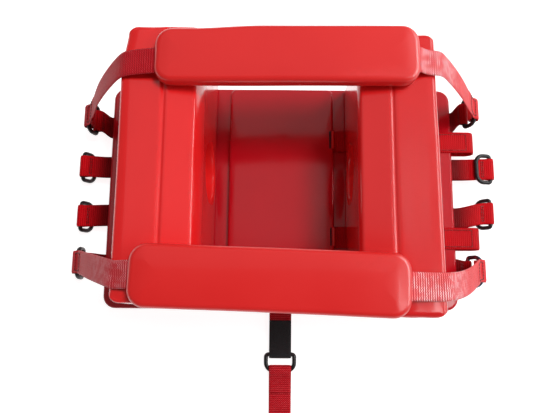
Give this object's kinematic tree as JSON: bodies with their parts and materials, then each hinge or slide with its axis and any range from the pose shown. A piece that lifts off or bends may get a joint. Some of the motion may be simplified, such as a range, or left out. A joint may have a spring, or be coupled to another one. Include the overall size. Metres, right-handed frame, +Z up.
{
  "type": "head immobiliser",
  "caption": "Padded base with a raised headrest, removable foam head blocks with ear holes, padded forehead and chin straps, D-ring tabs and webbing straps that fasten it to a spine board.",
  "frame": {"origin": "centre of the base board's flat underside, on the surface it rests on", "axes": "+X to the wearer's left across the board from one head block to the other, +Y from the shoulder end, where the tail strap leaves, to the crown end, +Z up"},
  "size_m": [0.4865, 0.5654, 0.188],
  "materials": {
    "vinyl": "gloss",
    "board_vinyl": "satin",
    "webbing": "matte",
    "loop_fabric": "matte",
    "hook_fabric": "matte",
    "black_ring": "gloss",
    "nickel": "polished"
  },
  "bodies": {
    "base": {"base_board": "board_vinyl", "headrest_pad": "vinyl", "left_loop_strip_far": "loop_fabric", "left_loop_strip_mid": "loop_fabric", "left_loop_strip_near": "loop_fabric", "left_forehead_strap": "webbing", "left_chin_strap": "webbing", "left_tab_far": "webbing", "left_tab_mid_far": "webbing", "left_tab_mid_near": "webbing", "left_tab_near": "webbing", "right_loop_strip_far": "loop_fabric", "right_loop_strip_mid": "loop_fabric", "right_loop_strip_near": "loop_fabric", "right_forehead_strap": "webbing", "right_chin_strap": "webbing", "right_tab_far": "webbing", "right_tab_mid_far": "webbing", "right_tab_mid_near": "webbing", "right_tab_near": "webbing", "board_strap_far": "webbing", "board_strap_near": "webbing", "tail_tab": "webbing", "tail_hook_strap": "hook_fabric", "tail_webbing": "webbing"},
    "left_block": {"left_head_block": "vinyl", "left_hook_strip_far": "loop_fabric", "left_hook_strip_mid": "loop_fabric", "left_hook_strip_near": "loop_fabric"},
    "right_block": {"right_head_block": "vinyl", "right_hook_strip_far": "loop_fabric", "right_hook_strip_mid": "loop_fabric", "right_hook_strip_near": "loop_fabric"},
    "forehead": {"forehead_pad": "vinyl"},
    "chin": {"chin_pad": "vinyl"},
    "left_ring_far_body": {"left_ring_far": "black_ring"},
    "left_ring_mid_far_body": {"left_ring_mid_far": "black_ring"},
    "left_ring_mid_near_body": {"left_ring_mid_near": "black_ring"},
    "left_ring_near_body": {"left_ring_near": "black_ring"},
    "right_ring_far_body": {"right_ring_far": "black_ring"},
    "right_ring_mid_far_body": {"right_ring_mid_far": "black_ring"},
    "right_ring_mid_near_body": {"right_ring_mid_near": "black_ring"},
    "right_ring_near_body": {"right_ring_near": "nickel"},
    "tail_ring_body": {"tail_ring": "black_ring"}
  },
  "joints": [
    {"name": "left_block_slide", "type": "slide", "parent": "base", "child": "left_block", "axis": [1, 0, 0], "range_m": [0, 0.012]},
    {"name": "right_block_slide", "type": "slide", "parent": "base", "child": "right_block", "axis": [-1, 0, 0], "range_m": [0, 0.01]},
    {"name": "forehead_pad_lift", "type": "slide", "parent": "base", "child": "forehead", "axis": [0, 0, 1], "range_m": [0, 0.015], "deforming": ["left_forehead_strap", "right_forehead_strap"]},
    {"name": "chin_pad_lift", "type": "slide", "parent": "base", "child": "chin", "axis": [0, 0, 1], "range_m": [0, 0.015], "deforming": ["left_chin_strap", "right_chin_strap"]},
    {"name": "left_ring_far_swing", "type": "hinge", "parent": "base", "child": "left_ring_far_body", "pos_m": [-0.2198, 0.0895, 0.0195], "axis": [0, 1, 0], "range_deg": [0, 8]},
    {"name": "left_ring_mid_far_swing", "type": "hinge", "parent": "base", "child": "left_ring_mid_far_body", "pos_m": [-0.2323, 0.034, 0.0195], "axis": [0, 1, 0], "range_deg": [-44, 275]},
    {"name": "left_ring_mid_near_swing", "type": "hinge", "parent": "base", "child": "left_ring_mid_near_body", "pos_m": [-0.2318, -0.025, 0.0195], "axis": [0, 1, 0], "range_deg": [-44, 275]},
    {"name": "left_ring_near_swing", "type": "hinge", "parent": "base", "child": "left_ring_near_body", "pos_m": [-0.226, -0.08, 0.0195], "axis": [0, 1, 0], "range_deg": [0, 8]},
    {"name": "right_ring_far_swing", "type": "hinge", "parent": "base", "child": "right_ring_far_body", "pos_m": [0.2177, 0.1015, 0.0195], "axis": [0, -1, 0], "range_deg": [0, 8]},
    {"name": "right_ring_mid_far_swing", "type": "hinge", "parent": "base", "child": "right_ring_mid_far_body", "pos_m": [0.2452, 0.034, 0.0195], "axis": [0, 1, 0], "range_deg": [0, 165]},
    {"name": "right_ring_mid_near_swing", "type": "hinge", "parent": "base", "child": "right_ring_mid_near_body", "pos_m": [0.2424, -0.0185, 0.0195], "axis": [0, -1, 0], "range_deg": [-33, 286]},
    {"name": "right_ring_near_swing", "type": "hinge", "parent": "base", "child": "right_ring_near_body", "pos_m": [0.2138, -0.086, 0.0195], "axis": [0, -1, 0], "range_deg": [0, 8]},
    {"name": "tail_ring_swing", "type": "hinge", "parent": "base", "child": "tail_ring_body", "pos_m": [0, -0.18, 0.0062], "axis": [-1, 0, 0], "range_deg": [0, 25], "deforming": ["tail_webbing"]}
  ],
  "couplings": [
    {"joint": "left_ring_far_swing", "follows": "forehead_pad_lift", "rad_per_m": 9},
    {"joint": "left_ring_near_swing", "follows": "chin_pad_lift", "rad_per_m": 9},
    {"joint": "right_ring_far_swing", "follows": "forehead_pad_lift", "rad_per_m": 9},
    {"joint": "right_ring_near_swing", "follows": "chin_pad_lift", "rad_per_m": 9}
  ]
}
